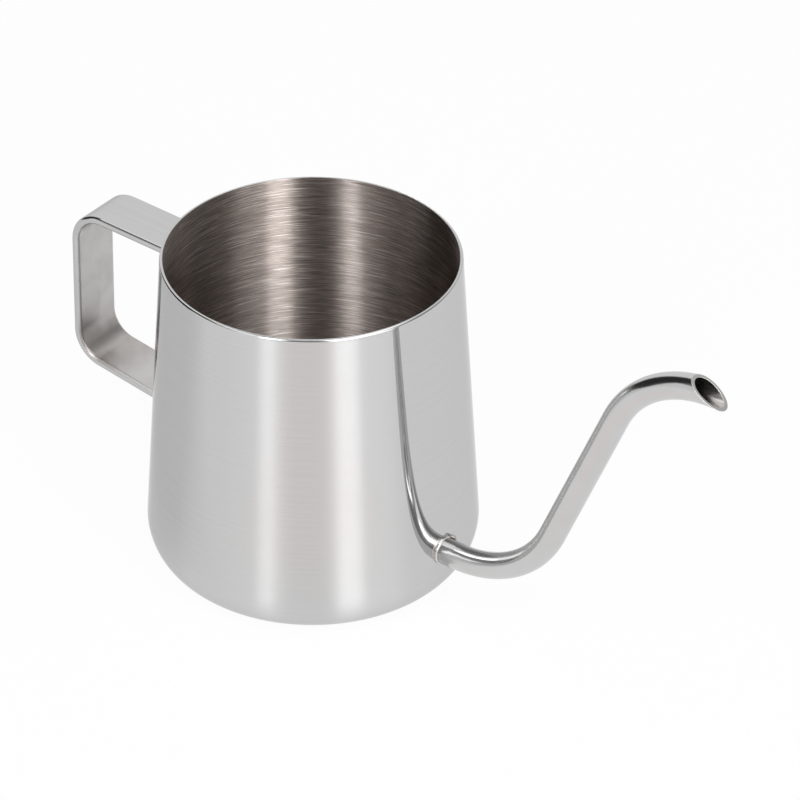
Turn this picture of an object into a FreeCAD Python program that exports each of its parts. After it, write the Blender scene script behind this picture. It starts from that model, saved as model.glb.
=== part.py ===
# Open gooseneck pot of stainless steel: a drawn cup, a bent pouring spout and a strap handle, all welded.
# Millimetres. +Z up, origin on the cup's axis at the plane it stands on, spout along +X, handle along -X.
import FreeCAD, Part
import math
import os

V = FreeCAD.Vector

# Cup
rim_d = 75.0                # outside the lip
cup_height = 87.8
wall_base_d = 85.0          # where the sloping wall, carried on down, would meet the standing plane
corner_r = 12.7             # outside radius of the lower corner
wall_t = 0.8
lip_inner_r = 0.12          # rounding of the lip's inner edge
lip_land = 0.06             # flat left on the lip between its two roundings
foot_ring_w = 3.5           # width of the flat ring that the cup stands on
base_recess = 0.8           # how far the middle of the base is pressed up
base_ramp_w = 2.5           # width of the slope round that recess

# Spout
spout_od = 6.8
spout_wall = 0.7
spout_level_run = 25.2      # from the cup's wall to where the level and the rising centre lines would meet
spout_incline = 66.2        # degrees, of the rising run from level
spout_bend_r = 32.0         # both bends, at the centre line
mouth_above_rim = 10.0      # centre line of the mouth over the lip of the cup
mouth_run = 23.9            # from where the rising and upper level centre lines would meet to the lip
mouth_slant = 32.5          # degrees, of the mouth's plane from level
mouth_edge_r = 0.08         # rounding of the mouth's edges
spout_hole_gap = 0.05       # round the tube in the cup's hole

# Ring and weld drop at the spout's root
collar_proud = 0.3          # stands out from the tube
collar_length = 0.6         # stands out from the cup's wall
collar_edge_r = 0.25
collar_above_corner = 0.5   # from the top of the cup's lower corner up to the ring
drop_r = 1.15
drop_angle = 35.0           # degrees above level, round the tube on its +Y side
drop_stand_off = 0.7        # its middle, out from the cup's wall

# Handle
strap_width = 14.3
strap_t = 2.2
strap_edge_flat = 0.1       # flat left on each edge between its two roundings
strap_stand_off = 34.6      # outer face, out from the rim
strap_below_rim = 9.9       # top face, carried on to the outer face, down from the rim
strap_height = 44.2         # between top and bottom faces, both carried on to the outer face
strap_top_tilt = 1.2        # degrees, upper arm falls towards the cup
strap_bottom_tilt = 7.9     # degrees, lower arm falls towards the cup
strap_upper_bend_r = 9.5    # outside of the bend
strap_lower_bend_r = 8.8
strap_weld_leg = 1.0        # of the weld bead round each end

# Shared
weld_gap = 0.03             # between a welded piece and what it is welded to
margin = 5.0                # how far a cutting solid runs past what it cuts
full_turn = 360.0

# The cup's sloping wall and lower corner, in the plane through its axis
rim_r = rim_d / 2
lip_outer_r = wall_t - lip_inner_r - lip_land
wall_base_r = wall_base_d / 2
wall_dir = V(rim_r - wall_base_r, 0, cup_height).normalize()
wall_out = V(wall_dir.z, 0, -wall_dir.x)
corner_along = corner_r * (1 + wall_out.z) / wall_dir.z
corner_centre = V(wall_base_r, 0, 0) + wall_dir * corner_along - wall_out * corner_r
corner_top_z = corner_centre.z + wall_out.z * corner_r


def wall_x(z):
    """Outside radius of the cup at a height on its sloping wall."""
    return wall_base_r + (rim_r - wall_base_r) * z / cup_height


def line(a, b):
    return Part.LineSegment(a, b).toShape()


def arc(a, middle, b):
    return Part.Arc(a, middle, b).toShape()


def rounded_path(points, radii):
    """Straight runs through the points, joined by tangent arcs of these radii at the inner points."""
    edges = []
    start = points[0]
    for before, corner, after, radius in zip(points, points[1:], points[2:], radii):
        back = (before - corner).normalize()
        on = (after - corner).normalize()
        half = back.getAngle(on) / 2
        middle = corner + (back + on).normalize() * (radius / math.sin(half) - radius)
        enter = corner + back * (radius / math.tan(half))
        leave = corner + on * (radius / math.tan(half))
        edges += [line(start, enter), arc(enter, middle, leave)]
        start = leave
    return Part.Wire(edges + [line(start, points[-1])])


def swept(path, section):
    return path.makePipeShell([section], True, False)


def level_cylinder(radius, x_from, x_to, z):
    return Part.makeCylinder(radius, x_to - x_from, V(x_from, 0, z), V(1, 0, 0))


def cup_solid(offset, top):
    """The cup as a solid turned form, its skin moved out by offset and its wall run up to the height top."""
    radius = corner_r + offset
    corner_low = corner_centre - V(0, 0, radius)
    corner_high = corner_centre + wall_out * radius
    corner_middle = corner_centre + (wall_out - V(0, 0, 1)).normalize() * radius
    wall_top = corner_high + wall_dir * ((top - corner_high.z) / wall_dir.z)
    ramp_low = V(corner_centre.x - foot_ring_w, 0, -offset)
    ramp_high = V(ramp_low.x - base_ramp_w, 0, base_recess - offset)
    axis_low = V(0, 0, ramp_high.z)
    axis_high = V(0, 0, top)
    outline = Part.Wire([
        line(axis_low, ramp_high),
        line(ramp_high, ramp_low),
        line(ramp_low, corner_low),
        arc(corner_low, corner_middle, corner_high),
        line(corner_high, wall_top),
        line(wall_top, axis_high),
        line(axis_high, axis_low),
    ])
    return Part.Face(outline).revolve(V(0, 0, 0), V(0, 0, 1), full_turn)


# Cup: one drawn sheet, open at the top, its lip rounded
cup_blank = cup_solid(0, cup_height)
cup_inside = cup_solid(-wall_t, cup_height + margin)
welded_skin = cup_solid(weld_gap, cup_height)
vessel_shell = cup_blank.cut(cup_inside)


def lip_edge(radius):
    """The circle of this radius in the plane of the cup's lip."""
    return [
        edge for edge in vessel_shell.Edges
        if isinstance(edge.Curve, Part.Circle)
        and abs(edge.Curve.Center.z - cup_height) < weld_gap
        and abs(edge.Curve.Radius - radius) < weld_gap
    ]


vessel_shell = vessel_shell.makeFillet(lip_outer_r, lip_edge(rim_r))
vessel_shell = vessel_shell.makeFillet(lip_inner_r, lip_edge(rim_r - wall_t / wall_out.x))

# Spout: level out of the cup, up the rising run and level again at the mouth.
# Its root is flush with the cup's inside.
spout_r = spout_od / 2
collar_r = spout_r + collar_proud
spout_axis_z = corner_top_z + collar_above_corner + collar_r
spout_root_x = wall_x(spout_axis_z)
spout_turn_x = spout_root_x + spout_level_run
spout_mouth_z = cup_height + mouth_above_rim
spout_crest_x = spout_turn_x + (spout_mouth_z - spout_axis_z) / math.tan(math.radians(spout_incline))
spout_start = V(spout_root_x - margin, 0, spout_axis_z)
mouth_lip = V(spout_crest_x + mouth_run, 0, spout_mouth_z - spout_r)
spout_path = rounded_path(
    [
        spout_start,
        V(spout_turn_x, 0, spout_axis_z),
        V(spout_crest_x, 0, spout_mouth_z),
        V(mouth_lip.x + margin, 0, spout_mouth_z),
    ],
    [spout_bend_r, spout_bend_r],
)


def spout_round(radius):
    circle = Part.Wire(Part.makeCircle(radius, spout_start, V(1, 0, 0)))
    return swept(spout_path, circle)


spout_tube = spout_round(spout_r).cut(spout_round(spout_r - spout_wall)).cut(cup_inside)
spout_hole = level_cylinder(spout_r + spout_hole_gap, 0, spout_root_x + margin, spout_axis_z)
vessel_shell = vessel_shell.cut(spout_hole)

# Mouth: the slant runs up and back from the lip, and takes away what lies above and in front of it
block_size = spout_od + margin
mouth_block = Part.makeBox(
    spout_bend_r + margin, block_size, block_size,
    V(mouth_lip.x - spout_bend_r, -block_size / 2, mouth_lip.z),
)
mouth_block.rotate(mouth_lip, V(0, 1, 0), mouth_slant)
spout_tube = spout_tube.cut(mouth_block)
slant_angle = math.radians(mouth_slant)
slant_normal = V(math.sin(slant_angle), 0, math.cos(slant_angle))
mouth_edges = [
    edge for edge in spout_tube.Edges
    if all(abs((vertex.Point - mouth_lip).dot(slant_normal)) < mouth_edge_r for vertex in edge.Vertexes)
]
spout_tube = spout_tube.makeFillet(mouth_edge_r, mouth_edges)

# Ring: a bead in the angle of tube and wall, seated against the cup
collar_face_x = spout_root_x + collar_length
collar_blank = level_cylinder(collar_r, spout_start.x, collar_face_x, spout_axis_z)
collar_front = [edge for edge in collar_blank.Edges if edge.CenterOfMass.x > collar_face_x - collar_edge_r]
collar_blank = collar_blank.makeFillet(collar_edge_r, collar_front)
collar_bore = level_cylinder(spout_r + weld_gap, spout_start.x, collar_face_x, spout_axis_z)
spout_collar = collar_blank.cut(collar_bore).cut(welded_skin)

# Weld drop on the ring's far side, against the cup's wall
drop_turn = math.radians(drop_angle)
drop_y = spout_r * math.cos(drop_turn)
drop_z = spout_axis_z + spout_r * math.sin(drop_turn)
drop_x = math.sqrt(wall_x(drop_z) ** 2 - drop_y ** 2) + drop_stand_off
drop_room = level_cylinder(collar_r + weld_gap, spout_start.x, drop_x + margin, spout_axis_z)
spout_weld = Part.makeSphere(drop_r, V(drop_x, drop_y, drop_z)).cut(drop_room).cut(welded_skin)

# Handle: a flat strap with rounded edges, bent twice, its ends shaped to the wall.
# Its middle line lies half a thickness inside its outer faces.
half_t = strap_t / 2
strap_edge_r = half_t - strap_edge_flat / 2
half_w = strap_width / 2
top_slope = math.tan(math.radians(strap_top_tilt))
bottom_slope = math.tan(math.radians(strap_bottom_tilt))
limb_x = half_t - (rim_r + strap_stand_off)
strap_top_z = cup_height - strap_below_rim
strap_bottom_z = strap_top_z - strap_height
upper_corner = V(limb_x, 0, strap_top_z - half_t * (math.hypot(1, top_slope) + top_slope))
lower_corner = V(limb_x, 0, strap_bottom_z + half_t * (math.hypot(1, bottom_slope) - bottom_slope))
arm_run = strap_stand_off + margin
upper_end = upper_corner + V(arm_run, 0, -arm_run * top_slope)
lower_end = lower_corner + V(arm_run, 0, -arm_run * bottom_slope)
strap_path = rounded_path(
    [upper_end, upper_corner, lower_corner, lower_end],
    [strap_upper_bend_r - half_t, strap_lower_bend_r - half_t],
)
wide = V(0, 1, 0)
thick = (upper_corner - upper_end).normalize().cross(wide)
flat_middle = upper_end + thick * half_t
section_corners = [
    upper_end + wide * (half_w * across) + thick * (half_t * through)
    for across, through in ((1, 1), (1, -1), (-1, -1), (-1, 1))
]
section_radii = [strap_edge_r] * len(section_corners)
strap_section = rounded_path([flat_middle, *section_corners, flat_middle], section_radii)
strap_bar = swept(strap_path, strap_section)
handle_strap = strap_bar.cut(welded_skin)


def in_strap_root(edge):
    """True for an edge where the strap's skin meets the cup's wall."""
    first, last = edge.ParameterRange
    points = [edge.valueAt(t) for t in (first, (first + last) / 2, last)]
    on_wall = all(abs(math.hypot(p.x, p.y) - wall_x(p.z)) < weld_gap for p in points)
    return on_wall and all(strap_bar.isInside(p, weld_gap, True) for p in points)


def strap_weld(arm_end, slope):
    """Bead in the angle all round one end of the strap, where it meets the wall."""
    root_z = arm_end.z + slope * margin
    half_room = half_t + strap_weld_leg + margin
    room = Part.makeBox(
        arm_run, strap_width + 2 * margin, 2 * half_room,
        V(arm_end.x - arm_run + margin, -half_w - margin, root_z - half_room),
    )
    root = cup_blank.common(room).fuse(strap_bar.common(room)).removeSplitter()
    bead = root.makeChamfer(strap_weld_leg, [edge for edge in root.Edges if in_strap_root(edge)])
    return bead.cut(welded_skin).cut(strap_bar)


handle_upper_weld = strap_weld(upper_end, top_slope)
handle_lower_weld = strap_weld(lower_end, bottom_slope)

pieces = {
    "vessel_shell": vessel_shell,
    "spout_tube": spout_tube,
    "spout_collar": spout_collar,
    "spout_weld": spout_weld,
    "handle_strap": handle_strap,
    "handle_upper_weld": handle_upper_weld,
    "handle_lower_weld": handle_lower_weld,
}

os.makedirs("parts", exist_ok=True)
for name, shape in pieces.items():
    shape.exportStep(f"parts/{name}.step")
    box = shape.optimalBoundingBox(False)
    print(
        f"{name}: solids {len(shape.Solids)}, valid {shape.isValid()}, volume {shape.Volume:.2f} mm3,",
        f"x {box.XMin:.2f} to {box.XMax:.2f}, y {box.YMin:.2f} to {box.YMax:.2f},",
        f"z {box.ZMin:.2f} to {box.ZMax:.2f}",
    )
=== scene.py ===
import math

import bpy
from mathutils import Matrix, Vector


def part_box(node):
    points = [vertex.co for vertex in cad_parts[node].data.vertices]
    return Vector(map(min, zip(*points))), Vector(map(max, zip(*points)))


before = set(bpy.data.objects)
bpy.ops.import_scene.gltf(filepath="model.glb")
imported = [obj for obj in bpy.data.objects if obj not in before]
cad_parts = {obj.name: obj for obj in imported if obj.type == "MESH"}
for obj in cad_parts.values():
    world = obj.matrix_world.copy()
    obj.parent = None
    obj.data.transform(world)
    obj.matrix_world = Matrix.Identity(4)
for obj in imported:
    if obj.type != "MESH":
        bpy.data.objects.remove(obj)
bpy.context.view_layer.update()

# Cup: one sheet of stainless steel, drawn deep, spun to its taper and trimmed at the lip.
# Its outside and lip are buffed to a mirror on a turning mandrel; its inside keeps the rings
# that a coarse belt left as the cup turned, and its colour there is painted shade, darker and browner than
# the steel.
cup_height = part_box("vessel_shell")[1].z
floor_zone = 0.012
lip_r = 0.00062
lip_crest_r = max(math.hypot(v.co.x, v.co.y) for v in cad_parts["vessel_shell"].data.vertices
                  if cup_height - v.co.z < lip_r / 100)


def grey(tone):
    return (tone, tone, tone, 1.0)


mirror_steel = grey(0.585)
# Painted shade: the inside's colours are dark and brown to stand for the shade inside the cup; only their
# variation from ring to ring is the belt's.
shaded_belt_dark = (0.13, 0.108, 0.097, 1.0)
shaded_belt_bright = (0.345, 0.288, 0.259, 1.0)
hairline_steel = (0.58, 0.53, 0.5, 1.0)
shaded_groove_steel = (0.285, 0.268, 0.254, 1.0)
mirror_roughness = 0.03
lip_roughness = 0.1
haze_roughness = 0.34
groove_roughness = 0.24
haze_share = 0.11
gleam_share = 0.11


def shader_group(name, inputs, outputs):
    """An empty shader node group with these named float inputs and outputs, and its two end nodes."""
    group = bpy.data.node_groups.new(name, "ShaderNodeTree")
    for socket_name, value in inputs.items():
        socket = group.interface.new_socket(socket_name, in_out="INPUT", socket_type="NodeSocketFloat")
        socket.default_value = value
    for socket_name in outputs:
        group.interface.new_socket(socket_name, in_out="OUTPUT", socket_type="NodeSocketFloat")
    return group, group.nodes.new("NodeGroupInput"), group.nodes.new("NodeGroupOutput")


def node(tree, kind, links=None, **settings):
    """A node with its settings made and its input sockets, by name or number, linked or set."""
    made = tree.nodes.new(kind)
    for name, value in settings.items():
        setattr(made, name, value)
    for key, value in (links or {}).items():
        if isinstance(value, bpy.types.NodeSocket):
            tree.links.new(value, made.inputs[key])
        else:
            made.inputs[key].default_value = value
    return made


def math_node(tree, operation, *terms):
    return node(tree, "ShaderNodeMath", dict(enumerate(terms)), operation=operation).outputs[0]


def vector_node(tree, operation, *terms):
    keys = (0, "Scale") if operation == "SCALE" else range(len(terms))
    made = node(tree, "ShaderNodeVectorMath", dict(zip(keys, terms)), operation=operation)
    return made.outputs["Value" if operation in ("LENGTH", "DOT_PRODUCT") else "Vector"]


def ramp(tree, value, low, high):
    """The value eased from 0 at low to 1 at high, and held beyond them."""
    links = {"Value": value, "From Min": low, "From Max": high}
    return node(tree, "ShaderNodeMapRange", links, interpolation_type="SMOOTHSTEP").outputs["Result"]


# Lines that run round the Z axis, on a wall or on a floor. Length and Width are a line's size in metres, and
# Level is the strength, from 0 to 1, from which a line counts as a scratch. The skin leans upwards by Lean,
# more or less by up to Spread from line to line, and turns sideways by up to Waver.
turned_lines, given, result = shader_group(
    "turned_lines",
    {"Length": 0.02, "Width": 0.0003, "Level": 0.6, "Lean": 0.0, "Spread": 0.1, "Waver": 0.0},
    ["Lines", "Scratches"],
)
turned_lines.interface.new_socket("Normal", in_out="OUTPUT", socket_type="NodeSocketVector")
place = node(turned_lines, "ShaderNodeTexCoord").outputs["Object"]
apart = node(turned_lines, "ShaderNodeSeparateXYZ", {0: place}).outputs
flat = node(turned_lines, "ShaderNodeCombineXYZ", {0: apart[0], 1: apart[1]}).outputs[0]
climb = math_node(turned_lines, "ADD", apart[2], vector_node(turned_lines, "LENGTH", flat))
line_place = node(turned_lines, "ShaderNodeCombineXYZ", {
    0: math_node(turned_lines, "DIVIDE", apart[0], given.outputs["Length"]),
    1: math_node(turned_lines, "DIVIDE", apart[1], given.outputs["Length"]),
    2: math_node(turned_lines, "DIVIDE", climb, given.outputs["Width"]),
}).outputs[0]
line_noise = node(
    turned_lines, "ShaderNodeTexNoise", {"Vector": line_place, "Scale": 1.0, "Detail": 2.0, "Roughness": 0.6}
).outputs
scratched = ramp(turned_lines, line_noise["Fac"], given.outputs["Level"],
                 math_node(turned_lines, "ADD", given.outputs["Level"], 0.06))
turned_lines.links.new(ramp(turned_lines, line_noise["Fac"], 0.3, 0.7), result.inputs["Lines"])
turned_lines.links.new(scratched, result.inputs["Scratches"])
chance = node(turned_lines, "ShaderNodeSeparateColor", {0: line_noise["Color"]}).outputs
upward = math_node(turned_lines, "MULTIPLY_ADD", chance[1], 2.0, -1.0)
upward = math_node(turned_lines, "MULTIPLY_ADD", upward, given.outputs["Spread"], given.outputs["Lean"])
sideways = math_node(turned_lines, "MULTIPLY_ADD", chance[2], 2.0, -1.0)
sideways = math_node(turned_lines, "MULTIPLY", sideways, given.outputs["Waver"])
along = vector_node(turned_lines, "NORMALIZE", vector_node(turned_lines, "CROSS_PRODUCT", (0, 0, 1), flat))
normal = node(turned_lines, "ShaderNodeNewGeometry").outputs["Normal"]
upward = node(turned_lines, "ShaderNodeCombineXYZ", {2: upward}).outputs[0]
skin = vector_node(turned_lines, "MULTIPLY_ADD", along, sideways, normal)
skin = vector_node(turned_lines, "ADD", skin, upward)
turned_lines.links.new(vector_node(turned_lines, "NORMALIZE", skin), result.inputs["Normal"])


def steel_shader(tree):
    """A Principled shader of bare steel, which mirrors hardly more at a glancing view than head on."""
    return node(tree, "ShaderNodeBsdfPrincipled", {"Metallic": 1.0, "Specular Tint": grey(0.8)})


def new_material(name):
    """A material whose surface is one shader of bare steel, with its node tree and that shader."""
    material = bpy.data.materials.new(name)
    material.use_nodes = True
    tree = material.node_tree
    tree.nodes.clear()
    shader = steel_shader(tree)
    node(tree, "ShaderNodeOutputMaterial", {"Surface": shader.outputs[0]})
    return material, tree, shader


def place_group(tree, group, **values):
    return node(tree, "ShaderNodeGroup", values, node_tree=group).outputs


def blend_colour(tree, share, first, second):
    return node(tree, "ShaderNodeMix", {"Factor": share, 6: first, 7: second}, data_type="RGBA").outputs[2]


def blend_value(tree, share, first, second):
    return node(tree, "ShaderNodeMix", {"Factor": share, 2: first, 3: second}).outputs[0]


def blend_normal(tree, share, first, second):
    return node(tree, "ShaderNodeMix", {"Factor": share, 4: first, 5: second}, data_type="VECTOR").outputs[1]


def give(node_name, material):
    """Puts the material on a piece of the frame."""
    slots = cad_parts[node_name].data.materials
    slots.clear()
    slots.append(material)


cup_finish, tree, shader = new_material("cup_mirror_and_shaded_belt")
normal = node(tree, "ShaderNodeNewGeometry").outputs["Normal"]
spot = node(tree, "ShaderNodeSeparateXYZ", {0: node(tree, "ShaderNodeTexCoord").outputs["Object"]}).outputs
from_axis = node(tree, "ShaderNodeCombineXYZ", {0: spot[0], 1: spot[1]}).outputs[0]
outward = vector_node(tree, "NORMALIZE", from_axis)
wall_inside = ramp(tree, vector_node(tree, "DOT_PRODUCT", normal, outward), -0.55, -0.75)
up_facing = ramp(tree, node(tree, "ShaderNodeSeparateXYZ", {0: normal}).outputs[2], 0.2, 0.4)
low_down = ramp(tree, spot[2], floor_zone * 1.2, floor_zone)
inside = math_node(tree, "MAXIMUM", wall_inside, math_node(tree, "MULTIPLY", up_facing, low_down))

# The lip's outer edge, a true quarter round between the wall and the flat crest.
lip_height = math_node(tree, "SUBTRACT", spot[2], cup_height - lip_r)
lip_reach = math_node(tree, "SUBTRACT", vector_node(tree, "LENGTH", from_axis), lip_crest_r)
on_lip = math_node(tree, "MULTIPLY", math_node(tree, "GREATER_THAN", lip_height, 0.0),
                   math_node(tree, "GREATER_THAN", lip_reach, 0.0))
lip_skin = vector_node(tree, "SCALE", outward, lip_reach)
lip_skin = vector_node(tree, "ADD", lip_skin, node(tree, "ShaderNodeCombineXYZ", {2: lip_height}).outputs[0])
outer_skin = blend_normal(tree, on_lip, normal, vector_node(tree, "NORMALIZE", lip_skin))

# Two layers of shine: what the metal mirrors, and what its own lines, too fine to see, fling up and down.
# Outside, the second is the faint haze that the buffing wheel leaves. Inside, it is the gleam of the grooves
# that the belt cut.
buffing = place_group(tree, turned_lines, Length=0.03, Width=0.0003, Lean=0.6, Spread=0.0)
belt = place_group(tree, turned_lines, Length=0.008, Width=0.0001, Lean=0.35, Spread=0.45, Waver=0.09)
grooves = place_group(tree, turned_lines, Length=0.008, Width=0.0001, Lean=0.85, Spread=0.3, Waver=0.04)
hairlines = place_group(tree, turned_lines, Length=0.011, Width=0.00012, Level=0.59)
# Painted shade: the inside's colour is dark and brown for the shade in the cup, and the hairlines show the
# steel's own tone.
shaded_belt_colour = blend_colour(tree, belt["Lines"], shaded_belt_dark, shaded_belt_bright)
shaded_belt_colour = blend_colour(tree, hairlines["Scratches"], shaded_belt_colour, hairline_steel)
tree.links.new(blend_colour(tree, inside, mirror_steel, shaded_belt_colour), shader.inputs["Base Color"])
outer_roughness = blend_value(tree, on_lip, mirror_roughness, lip_roughness)
belt_roughness = blend_value(tree, belt["Lines"], 0.47, 0.54)
tree.links.new(blend_value(tree, inside, outer_roughness, belt_roughness), shader.inputs["Roughness"])
tree.links.new(blend_normal(tree, inside, outer_skin, belt["Normal"]), shader.inputs["Normal"])
gleam = steel_shader(tree)
# The gleam's colour inside is dimmed too, as painted shade.
tree.links.new(blend_colour(tree, inside, mirror_steel, shaded_groove_steel), gleam.inputs["Base Color"])
tree.links.new(blend_value(tree, inside, haze_roughness, groove_roughness), gleam.inputs["Roughness"])
tree.links.new(blend_normal(tree, inside, buffing["Normal"], grooves["Normal"]), gleam.inputs["Normal"])
round_axis = node(tree, "ShaderNodeTangent", direction_type="RADIAL", axis="Z").outputs[0]
for layer in (shader, gleam):
    tree.links.new(round_axis, layer.inputs["Tangent"])
    layer.inputs["Anisotropic"].default_value = 1.0
    layer.inputs["Anisotropic Rotation"].default_value = 0.25
outer_share = blend_value(tree, buffing["Lines"], haze_share * 0.85, haze_share * 1.15)
outer_share = blend_value(tree, on_lip, outer_share, 0.0)
inner_share = blend_value(tree, grooves["Lines"], gleam_share * 0.4, gleam_share * 1.6)
share = blend_value(tree, inside, outer_share, inner_share)
layers = node(tree, "ShaderNodeMixShader", {0: share, 1: shader.outputs[0], 2: gleam.outputs[0]}).outputs[0]
tree.links.new(layers, tree.nodes["Material Output"].inputs["Surface"])
give("vessel_shell", cup_finish)

# Spout: thin drawn stainless tube, bent twice on a mandrel, its mouth cut on a slant and dressed smooth.
# It is buffed along its length to a bright polish; its bore keeps the dull skin of the drawing die.
# Its lower end is welded to the cup's wall, over a round hole.
tube_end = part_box("spout_tube")[1].x
mouth_rise = 0.010
mouth_zone = 0.018
mouth_slant = math.radians(32.5)
mouth_edge = 0.00012
polish_dull = grey(0.55)
polish_bright = grey(0.61)
wiped_steel = (0.56, 0.55, 0.545, 1.0)
bore_steel = (0.56, 0.54, 0.52, 1.0)
bore_roughness = 0.24
cut_roughness = 0.4

# Lines along a tube or strap that is bent in the plane of X and Z. Length and Width are a line's size in
# metres, and Lean is how far its flanks slope to either side.
lengthwise_lines, given, result = shader_group(
    "lengthwise_lines", {"Length": 0.02, "Width": 0.0004, "Lean": 0.05}, ["Lines"]
)
lengthwise_lines.interface.new_socket("Normal", in_out="OUTPUT", socket_type="NodeSocketVector")
place = node(lengthwise_lines, "ShaderNodeTexCoord").outputs["Object"]
apart = node(lengthwise_lines, "ShaderNodeSeparateXYZ", {0: place}).outputs
line_place = node(lengthwise_lines, "ShaderNodeCombineXYZ", {
    0: math_node(lengthwise_lines, "DIVIDE", apart[0], given.outputs["Length"]),
    1: math_node(lengthwise_lines, "DIVIDE", apart[1], given.outputs["Width"]),
    2: math_node(lengthwise_lines, "DIVIDE", apart[2], given.outputs["Length"]),
}).outputs[0]
line_noise = node(
    lengthwise_lines, "ShaderNodeTexNoise",
    {"Vector": line_place, "Scale": 1.0, "Detail": 1.0, "Roughness": 0.5},
).outputs["Fac"]
lengthwise_lines.links.new(line_noise, result.inputs["Lines"])
slope = math_node(lengthwise_lines, "SUBTRACT", line_noise, 0.5)
slope = math_node(lengthwise_lines, "MULTIPLY", slope, given.outputs["Lean"])
sideways = node(lengthwise_lines, "ShaderNodeCombineXYZ", {1: slope}).outputs[0]
normal = node(lengthwise_lines, "ShaderNodeNewGeometry").outputs["Normal"]
skin = vector_node(lengthwise_lines, "ADD", normal, sideways)
lengthwise_lines.links.new(vector_node(lengthwise_lines, "NORMALIZE", skin), result.inputs["Normal"])

# Soft marks left by wiping and by fingers, as broad cloudy patches of the Size given in metres.
handling_marks, given, result = shader_group("handling_marks", {"Size": 0.03}, ["Marks"])
place = node(handling_marks, "ShaderNodeTexCoord").outputs["Object"]
per_metre = math_node(handling_marks, "DIVIDE", 1.0, given.outputs["Size"])
cloud = node(
    handling_marks, "ShaderNodeTexNoise",
    {"Vector": place, "Scale": per_metre, "Detail": 4.0, "Roughness": 0.55, "Distortion": 0.6},
).outputs["Fac"]
handling_marks.links.new(ramp(handling_marks, cloud, 0.35, 0.7), result.inputs["Marks"])

tube_finish, tree, shader = new_material("tube_polish")
normal = node(tree, "ShaderNodeNewGeometry").outputs["Normal"]
place = node(tree, "ShaderNodeTexCoord").outputs["Object"]
at_mouth = ramp(tree, node(tree, "ShaderNodeSeparateXYZ", {0: place}).outputs[0],
                tube_end - mouth_zone, tube_end - mouth_zone * 0.9)
from_axis = vector_node(tree, "SUBTRACT", place, (0, 0, cup_height + mouth_rise))
outward = vector_node(tree, "NORMALIZE", vector_node(tree, "MULTIPLY", from_axis, (0, 1, 1)))
bore = ramp(tree, vector_node(tree, "DOT_PRODUCT", normal, outward), 0.0, -0.2)
bore = math_node(tree, "MULTIPLY", at_mouth, bore)
slant_out = Vector((math.sin(mouth_slant), 0, math.cos(mouth_slant)))
cut_level = max(v.co.dot(slant_out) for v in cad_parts["spout_tube"].data.vertices)
below_cut = math_node(tree, "SUBTRACT", cut_level, vector_node(tree, "DOT_PRODUCT", place, slant_out))
cut_edge = math_node(tree, "MULTIPLY", at_mouth, ramp(tree, below_cut, mouth_edge * 1.6, mouth_edge))
polish = place_group(tree, lengthwise_lines, Length=0.03, Width=0.0016, Lean=0.02)
marks = place_group(tree, handling_marks, Size=0.012)["Marks"]
roughness = blend_value(tree, polish["Lines"], 0.12, 0.18)
roughness = blend_value(tree, bore, roughness, bore_roughness)
tree.links.new(blend_value(tree, cut_edge, roughness, cut_roughness), shader.inputs["Roughness"])
colour = blend_colour(tree, polish["Lines"], polish_dull, polish_bright)
colour = blend_colour(tree, math_node(tree, "MULTIPLY", marks, 0.5), colour, wiped_steel)
tree.links.new(blend_colour(tree, bore, colour, bore_steel), shader.inputs["Base Color"])
shader.inputs["Specular Tint"].default_value = grey(0.95)
tree.links.new(polish["Normal"], shader.inputs["Normal"])
give("spout_tube", tube_finish)

# Ring at the spout's root: a bead of stainless filler, run by hand round the joint of tube and cup.
# It is dressed and buffed until it shines almost as the tube does, and small dull patches stay.
ring_bright = (0.78, 0.76, 0.73, 1.0)
ring_dull = (0.70, 0.67, 0.64, 1.0)


def bead_metal(name, patch_size, roughness, colours):
    """Weld metal that goes from the first roughness and colour to the second in small cloudy patches."""
    material, tree, shader = new_material(name)
    marks = place_group(tree, handling_marks, Size=patch_size)["Marks"]
    tree.links.new(blend_value(tree, marks, *roughness), shader.inputs["Roughness"])
    tree.links.new(blend_colour(tree, marks, *colours), shader.inputs["Base Color"])
    return material


give("spout_collar", bead_metal("ring_bead", 0.0012, (0.22, 0.38), (ring_bright, ring_dull)))

# Weld drop beside the ring: a small drop of weld metal, left where the torch was lifted.
# It is dressed less than the ring, so it is rougher and keeps a faint straw-brown heat tint.
weld_bright = (0.56, 0.535, 0.515, 1.0)
weld_tinted = (0.45, 0.42, 0.395, 1.0)
weld_finish = bead_metal("weld_tint", 0.0015, (0.42, 0.6), (weld_bright, weld_tinted))
give("spout_weld", weld_finish)

# Handle: a strip of flat stainless bar with rounded edges, bent twice and welded at both ends to the cup.
# Its outside and edges are buffed bright; its inside, where the wheel can't reach, stays satin and cloudy.
# Its inside is painted darker towards the lower bend, as painted shade in the crease.
strap_low, strap_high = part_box("handle_strap")
grip_centre = ((strap_low.x + strap_high.x) / 2, 0, (strap_low.z + strap_high.z) / 2)
lower_bend = (strap_low.x, 0, strap_low.z)
bend_shade_limit = 0.02
bend_shade_core = 0.009
satin_pale = (0.585, 0.575, 0.572, 1.0)
satin_cloudy = (0.545, 0.53, 0.525, 1.0)
bend_shade_steel = (0.40, 0.37, 0.355, 1.0)
strap_finish, tree, shader = new_material("strap_polish")
normal = node(tree, "ShaderNodeNewGeometry").outputs["Normal"]
place = node(tree, "ShaderNodeTexCoord").outputs["Object"]
to_centre = vector_node(tree, "MULTIPLY", vector_node(tree, "SUBTRACT", grip_centre, place), (1, 0, 1))
facing_in = vector_node(tree, "DOT_PRODUCT", normal, vector_node(tree, "NORMALIZE", to_centre))
inner = ramp(tree, facing_in, 0.25, 0.55)
polish = place_group(tree, lengthwise_lines, Length=0.025, Width=0.0016, Lean=0.04)
clouds = place_group(tree, handling_marks, Size=0.009)["Marks"]
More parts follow.
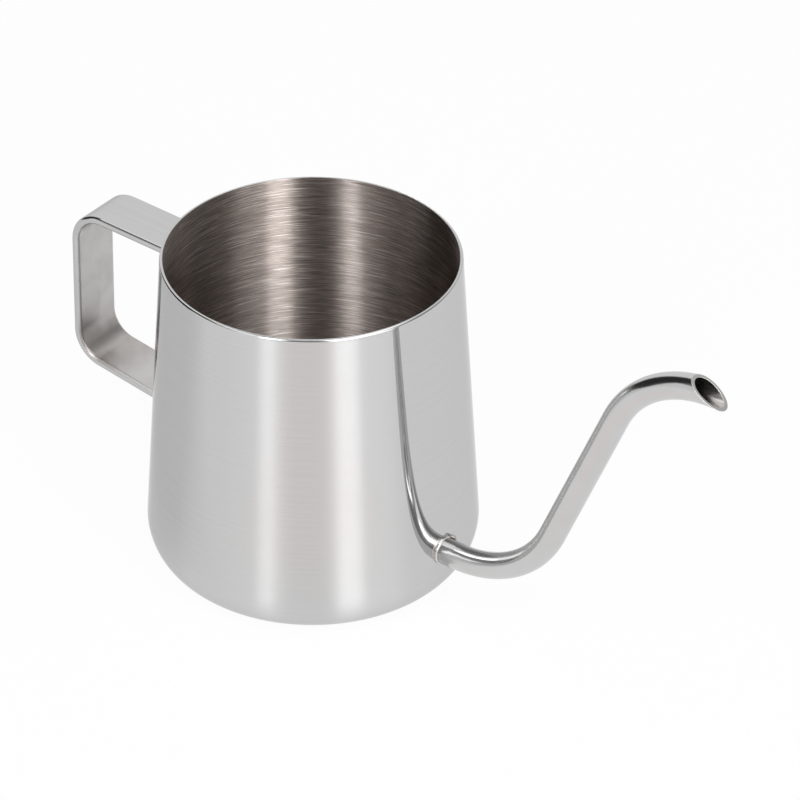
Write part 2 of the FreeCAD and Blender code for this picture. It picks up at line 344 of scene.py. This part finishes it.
outer_roughness = blend_value(tree, polish["Lines"], 0.1, 0.2)
inner_roughness = blend_value(tree, clouds, 0.36, 0.42)
tree.links.new(blend_value(tree, inner, outer_roughness, inner_roughness), shader.inputs["Roughness"])
# Painted shade: the inside's colour darkens towards the lower bend, in cloudy patches.
from_bend = vector_node(tree, "MULTIPLY", vector_node(tree, "SUBTRACT", place, lower_bend), (1, 0, 1))
bend_shade = ramp(tree, vector_node(tree, "LENGTH", from_bend), bend_shade_limit, bend_shade_core)
bend_shade = math_node(tree, "MULTIPLY", bend_shade, blend_value(tree, clouds, 0.6, 1.0))
outer_colour = blend_colour(tree, polish["Lines"], polish_dull, polish_bright)
inner_colour = blend_colour(tree, clouds, satin_pale, satin_cloudy)
inner_colour = blend_colour(tree, bend_shade, inner_colour, bend_shade_steel)
tree.links.new(blend_colour(tree, inner, outer_colour, inner_colour), shader.inputs["Base Color"])
tree.links.new(polish["Normal"], shader.inputs["Normal"])
give("handle_strap", strap_finish)

# Beads at the strap's two ends: weld metal that holds the strap to the cup's wall.
# They are run by hand and dressed to a fillet, with the same heat tint as the drop by the spout.
give("handle_upper_weld", weld_finish)
give("handle_lower_weld", weld_finish)

# Camera: a long lens, to the right of the spout's side and well above the pot.
view_azimuth = math.radians(38.05)
view_elevation = math.radians(33.92)
view_distance = 1.82432
aim_across = 0.02184
aim_height = 0.045331
scene = bpy.context.scene
back = Vector((
    math.sin(view_azimuth) * math.cos(view_elevation),
    -math.cos(view_azimuth) * math.cos(view_elevation),
    math.sin(view_elevation),
))
rightward = Vector((math.cos(view_azimuth), math.sin(view_azimuth), 0))
aim = rightward * aim_across + Vector((0, 0, aim_height))
camera = bpy.data.objects.new("camera", bpy.data.cameras.new("camera"))
camera.data.lens = 329.05
camera.location = aim + back * view_distance
camera.rotation_mode = "QUATERNION"
camera.rotation_quaternion = (-back).to_track_quat("-Z", "Y")
scene.collection.objects.link(camera)
scene.camera = camera

# Floor: a plain white sheet that the metal sees as white, with the pot's soft shadow on it.
# In the metal it is a little warm close in front of the pot, and has a painted shadow behind it on the left.
floor_half = 6.0
floor_drop = 0.0002
paper_white = grey(0.85)
warm_white = (1.03, 0.985, 0.975, 1.0)
painted_shadow_white = grey(0.85)
mirrored_share = 0.9
seen_share = 0.95
floor_mesh = bpy.data.meshes.new("floor")
corner_signs = ((-1, -1), (1, -1), (1, 1), (-1, 1))
floor_corners = [(x * floor_half, y * floor_half, -floor_drop) for x, y in corner_signs]
floor_mesh.from_pydata(floor_corners, [], [(0, 1, 2, 3)])
floor = bpy.data.objects.new("floor", floor_mesh)
scene.collection.objects.link(floor)
floor_finish = bpy.data.materials.new("floor_white")
floor_finish.use_nodes = True
tree = floor_finish.node_tree
tree.nodes.clear()
path = node(tree, "ShaderNodeLightPath").outputs
mirrored = math_node(tree, "MAXIMUM", path["Is Glossy Ray"], path["Is Transmission Ray"])
white_share = math_node(tree, "MAXIMUM", math_node(tree, "MULTIPLY", mirrored, mirrored_share),
                        math_node(tree, "MULTIPLY", path["Is Camera Ray"], seen_share))
floor_place = node(tree, "ShaderNodeNewGeometry").outputs["Position"]
ahead = vector_node(tree, "DOT_PRODUCT", floor_place, Vector((back.x, back.y, 0)).normalized())
aside = vector_node(tree, "DOT_PRODUCT", floor_place, rightward)
# Painted shadow, seen only in the metal: the floor is darker behind the pot on the left.
painted_shadow_patch = math_node(tree, "MULTIPLY", ramp(tree, ahead, 0.055, 0.005), ramp(tree, aside, -0.03, -0.08))
in_front = math_node(tree, "MULTIPLY", ramp(tree, ahead, 0.05, 0.1),
                     ramp(tree, math_node(tree, "ABSOLUTE", aside), 0.09, 0.04))
tone = blend_colour(tree, in_front, grey(1.0), warm_white)
tone = blend_colour(tree, painted_shadow_patch, tone, painted_shadow_white)
tone = blend_colour(tree, path["Is Camera Ray"], tone, grey(1.0))
paper = node(tree, "ShaderNodeBsdfDiffuse", {"Color": paper_white}).outputs[0]
white = node(tree, "ShaderNodeEmission", {"Color": tone, "Strength": 1.0}).outputs[0]
sheet = node(tree, "ShaderNodeMixShader", {0: white_share, 1: paper, 2: white}).outputs[0]
node(tree, "ShaderNodeOutputMaterial", {"Surface": sheet})
floor_mesh.materials.append(floor_finish)

# Studio: pale walls with a dark doorway on the left, a bright ceiling that a dark gap splits in two, and two
# soft boxes, one on either side of the camera. It is dim where the camera stands. Only the metal sees the
# walls and the ceiling: the floor gets an even fill light from all round, and the camera sees white.
fill_tone = 0.45
ceiling_tone = 2.0
dim_tone = 0.3
world = bpy.data.worlds.new("studio")
scene.world = world
world.use_nodes = True
tree = world.node_tree
tree.nodes.clear()


def studio_direction(azimuth, elevation):
    """A direction, in degrees: azimuth to the right of the camera, elevation above the floor."""
    bearing = math.radians(azimuth) + view_azimuth - math.pi / 2
    lift = math.radians(elevation)
    return Vector((math.cos(bearing) * math.cos(lift), math.sin(bearing) * math.cos(lift), math.sin(lift)))


way = node(tree, "ShaderNodeTexCoord").outputs["Generated"]
rise = node(tree, "ShaderNodeSeparateXYZ", {0: way}).outputs[2]
to_right = vector_node(tree, "DOT_PRODUCT", way, studio_direction(90, 0))
to_camera = vector_node(tree, "DOT_PRODUCT", way, studio_direction(0, 0))
turn = math_node(tree, "MULTIPLY_ADD", math_node(tree, "ARCTAN2", to_right, to_camera), 0.5 / math.pi, 0.5)


def wall_tones(tones):
    """The brightness of the studio's walls all round, from pairs of azimuth in degrees and tone."""
    walls = node(tree, "ShaderNodeValToRGB", {"Fac": turn})
    stops = walls.color_ramp.elements
    for azimuth, _ in tones[1:-1]:
        stops.new(azimuth / 360 + 0.5)
    for stop, (_, tone) in zip(stops, tones):
        stop.color = grey(tone)
    return walls.outputs["Color"]


low_walls = wall_tones([
    (-180, 0.95), (-146, 0.95), (-138, 0.03), (-96, 0.03), (-91, 0.9), (-60, 0.8), (-52, 1.1), (-24, 1.0),
    (-14, 0.7), (-7, 0.45), (-4, 0.12), (7, 0.12), (10, 0.4), (16, 0.8), (18, 2.2), (58, 2.2), (66, 0.7),
    (100, 0.7), (140, 0.8), (160, 0.95), (180, 0.95),
])
high_walls = wall_tones([
    (-180, 0.95), (-146, 0.95), (-138, 0.03), (-96, 0.03), (-91, 0.2), (-76, 0.25), (-62, 0.55), (-52, 1.1),
    (-24, 1.0), (-14, 0.7), (-7, 0.45), (-4, 0.12), (7, 0.12), (10, 0.4), (16, 0.8), (18, 2.2), (58, 2.2),
    (66, 0.3), (100, 0.25), (140, 0.5), (160, 0.95), (180, 0.95),
])
room = blend_colour(tree, ramp(tree, rise, 0.36, 0.46), low_walls, high_walls)
gap = math_node(tree, "MULTIPLY", ramp(tree, to_right, -0.34, -0.28), ramp(tree, to_right, 0.17, 0.11))
ceiling = math_node(tree, "MULTIPLY", ramp(tree, rise, 0.8, 0.88), math_node(tree, "SUBTRACT", 1.0, gap))
room = blend_colour(tree, ceiling, room, grey(ceiling_tone))
by_camera = math_node(tree, "MULTIPLY", ramp(tree, turn, 0.422, 0.428), ramp(tree, turn, 0.535, 0.507))
room = blend_colour(tree, by_camera, room, grey(dim_tone))
path = node(tree, "ShaderNodeLightPath").outputs
room = blend_colour(tree, path["Is Glossy Ray"], grey(fill_tone), room)
room = blend_colour(tree, path["Is Camera Ray"], room, grey(1.0))
sky = node(tree, "ShaderNodeBackground", {"Color": room, "Strength": 1.0}).outputs[0]
node(tree, "ShaderNodeOutputWorld", {"Surface": sky})


def soft_box(name, azimuth, wide):
    """A tall rectangular lamp that faces the pot, and that the camera doesn't see."""
    elevation = 40
    distance = 1.4
    high = 1.0
    radiance = 9.5
    data = bpy.data.lights.new(name, "AREA")
    data.shape = "RECTANGLE"
    data.size = wide
    data.size_y = high
    data.energy = radiance * wide * high * math.pi
    lamp = bpy.data.objects.new(name, data)
    toward = studio_direction(azimuth, elevation)
    lamp.location = aim + toward * distance
    lamp.rotation_mode = "QUATERNION"
    lamp.rotation_quaternion = toward.to_track_quat("Z", "Y")
    lamp.visible_camera = False
    scene.collection.objects.link(lamp)


soft_box("right_soft_box", azimuth=25.5, wide=0.36)
soft_box("left_soft_box", azimuth=-33, wide=0.24)

# Steel mirrors steel many times over here, so reflections run on, and stray bright specks are held down.
scene.view_settings.view_transform = "Standard"
scene.cycles.glossy_bounces = 12
scene.cycles.sample_clamp_indirect = 1.0
